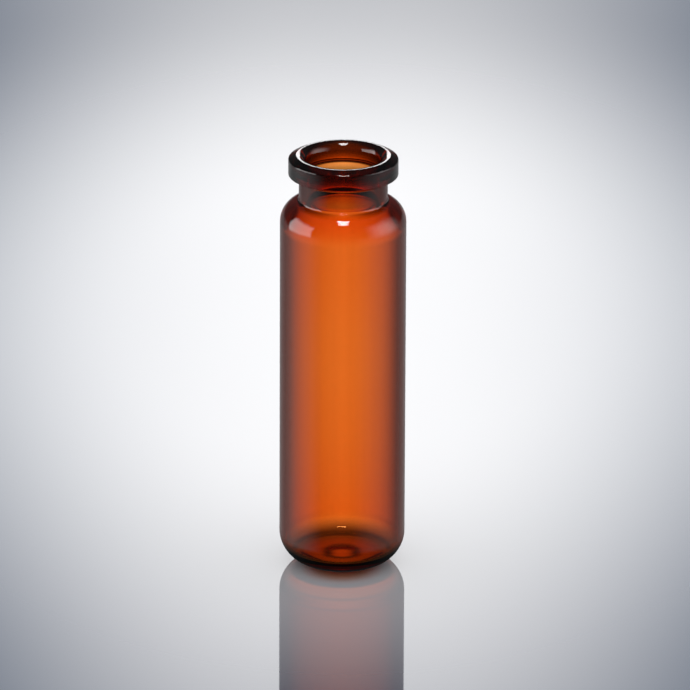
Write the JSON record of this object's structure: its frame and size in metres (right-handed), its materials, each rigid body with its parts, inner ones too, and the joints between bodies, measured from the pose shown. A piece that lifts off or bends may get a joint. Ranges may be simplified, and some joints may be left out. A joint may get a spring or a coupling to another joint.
{
  "type": "crimp neck glass sample vial",
  "caption": "Open amber glass sample vial: straight tube on a rounded heel, round shoulder, short neck, and a crimp flange bevelled round its sealing land.",
  "frame": {"origin": "centre of the plane that the vial stands on, where its standing ring meets the bench", "axes": "+Z along the vial's axis, from its base up to its open mouth; the vial looks the same all round that axis"},
  "size_m": [0.0228, 0.0228, 0.0778],
  "materials": {
    "amber_glass": "clear amber glass, fire polished"
  },
  "bodies": {
    "root": {"vial": "amber_glass"}
  },
  "joints": []
}
